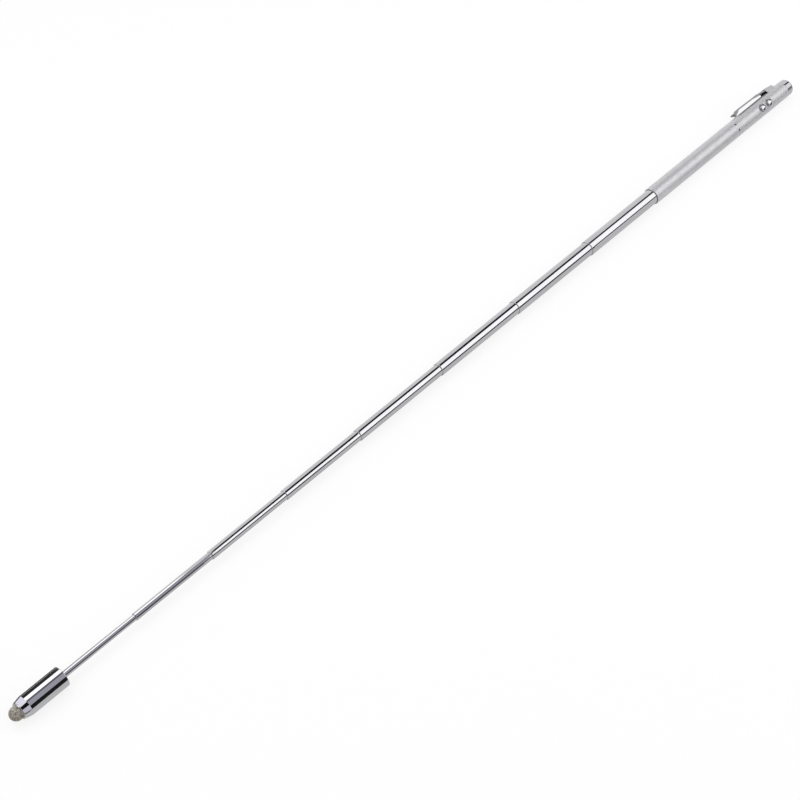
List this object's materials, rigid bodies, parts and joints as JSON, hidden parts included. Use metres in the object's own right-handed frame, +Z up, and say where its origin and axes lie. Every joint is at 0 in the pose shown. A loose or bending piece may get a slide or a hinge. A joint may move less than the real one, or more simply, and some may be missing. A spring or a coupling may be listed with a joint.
{
  "type": "laser pointer pen",
  "caption": "Telescopic pointer pen with a ball stylus tip, push buttons for laser and lamp, a pocket clip and an unscrewing barrel.",
  "frame": {"origin": "on the floor, under the middle of the box of the drawn-out pen as it lies", "axes": "+X along the pen towards the laser end, +Z up from the floor that the barrels and the stylus head lie on; the clip points up and towards +Y, the buttons up and towards -Y"},
  "size_m": [0.591, 0.014, 0.0114],
  "materials": {
    "chrome_plate": "polished chrome plate",
    "satin_silver": "fine satin silver",
    "clip_steel": "satin-plated spring steel",
    "spring_steel": "bright drawn spring wire",
    "brass": "turned brass",
    "bronze": "rolled phosphor bronze",
    "woven_mesh": "silver-plated woven fibre",
    "black_rubber": "soft moulded rubber",
    "cell_steel": "nickel-plated steel",
    "black_plastic": "moulded black ABS",
    "white_plastic": "moulded white nylon",
    "board_green": "glass-fibre board with green mask",
    "clear_plastic": "clear moulded acrylic"
  },
  "bodies": {
    "upper_barrel": {"upper_barrel": "satin_silver", "end_cap": "chrome_plate", "window": "clear_plastic", "optics_holder": "black_plastic", "laser_housing": "brass", "laser_lens": "clear_plastic", "laser_diode": "brass", "lamp": "clear_plastic", "board_carrier": "black_plastic", "circuit_board": "board_green", "lamp_switch": "black_plastic", "laser_switch": "black_plastic", "contact_plate": "brass", "battery_sleeve": "white_plastic", "cell_1": "cell_steel", "cell_2": "cell_steel", "cell_3": "cell_steel", "clip_bracket": "satin_silver", "clip_rivet": "brass"},
    "pocket_clip": {"pocket_clip": "clip_steel"},
    "lamp_button": {"lamp_button": "chrome_plate", "lamp_plunger": "white_plastic"},
    "laser_button": {"laser_button": "chrome_plate", "laser_plunger": "white_plastic"},
    "joint_ring": {"joint_ring": "chrome_plate"},
    "lower_barrel": {"lower_barrel": "satin_silver", "coupler": "brass", "contact_screw": "cell_steel", "battery_spring": "spring_steel"},
    "tube_8": {"tube_8": "chrome_plate", "tube_8_bush": "bronze"},
    "tube_7": {"tube_7": "chrome_plate", "tube_7_bush": "bronze"},
    "tube_6": {"tube_6": "chrome_plate", "tube_6_bush": "bronze"},
    "tube_5": {"tube_5": "chrome_plate", "tube_5_bush": "bronze"},
    "tube_4": {"tube_4": "chrome_plate", "tube_4_bush": "bronze"},
    "tube_3": {"tube_3": "chrome_plate", "tube_3_bush": "bronze"},
    "tube_2": {"tube_2": "chrome_plate", "tube_2_bush": "bronze"},
    "rod_slider": {"tip_rod_bush": "bronze"},
    "stylus": {"tip_rod": "chrome_plate", "head_plug": "brass", "stylus_shell": "chrome_plate", "nose_ring": "chrome_plate", "mesh_tip": "woven_mesh", "tip_core": "black_rubber", "tip_collar": "brass"}
  },
  "joints": [
    {"name": "clip_flex", "type": "hinge", "parent": "upper_barrel", "child": "pocket_clip", "pos_m": [0.27698, 0.004, 0.00811], "axis": [0, 0.5225, -0.8526], "range_deg": [0, 5], "stiffness_Nm_per_rad": 0.9, "springref_deg": -1.15},
    {"name": "lamp_button_press", "type": "slide", "parent": "upper_barrel", "child": "lamp_button", "axis": [0, 0.6494, -0.7604], "range_m": [0, 0.0004], "stiffness_N_per_m": 3000, "springref_m": -0.0001},
    {"name": "laser_button_press", "type": "slide", "parent": "upper_barrel", "child": "laser_button", "axis": [0, 0.6494, -0.7604], "range_m": [0, 0.0004], "stiffness_N_per_m": 3000, "springref_m": -0.0001},
    {"name": "barrel_unscrew", "type": "hinge", "parent": "upper_barrel", "child": "joint_ring", "pos_m": [0.23933, -0.00111, 0.00498], "axis": [-1, 0, 0], "range_deg": [0, 2160]},
    {"name": "barrel_leave", "type": "slide", "parent": "joint_ring", "child": "lower_barrel", "axis": [-1, 0, 0], "range_m": [0, 0.0045]},
    {"name": "tube_8_slide", "type": "slide", "parent": "lower_barrel", "child": "tube_8", "axis": [1, 0, 0], "range_m": [0, 0.0581]},
    {"name": "tube_7_slide", "type": "slide", "parent": "tube_8", "child": "tube_7", "axis": [1, 0, 0], "range_m": [0, 0.0617]},
    {"name": "tube_6_slide", "type": "slide", "parent": "tube_7", "child": "tube_6", "axis": [1, 0, 0], "range_m": [0, 0.0603]},
    {"name": "tube_5_slide", "type": "slide", "parent": "tube_6", "child": "tube_5", "axis": [1, 0, 0], "range_m": [0, 0.0596]},
    {"name": "tube_4_slide", "type": "slide", "parent": "tube_5", "child": "tube_4", "axis": [1, 0, 0], "range_m": [0, 0.0507]},
    {"name": "tube_3_slide", "type": "slide", "parent": "tube_4", "child": "tube_3", "axis": [1, 0, 0], "range_m": [0, 0.0481]},
    {"name": "tube_2_slide", "type": "slide", "parent": "tube_3", "child": "tube_2", "axis": [1, 0, 0], "range_m": [0, 0.0463]},
    {"name": "rod_slide", "type": "slide", "parent": "tube_2", "child": "rod_slider", "axis": [1, 0, 0], "range_m": [0, 0.0413]},
    {"name": "stylus_spin", "type": "hinge", "parent": "rod_slider", "child": "stylus", "pos_m": [-0.26672, -0.00111, 0.00498], "axis": [1, 0, 0], "continuous": true}
  ],
  "couplings": [
    {"joint": "barrel_unscrew", "follows": "barrel_leave", "rad_per_m": 8377.5}
  ]
}
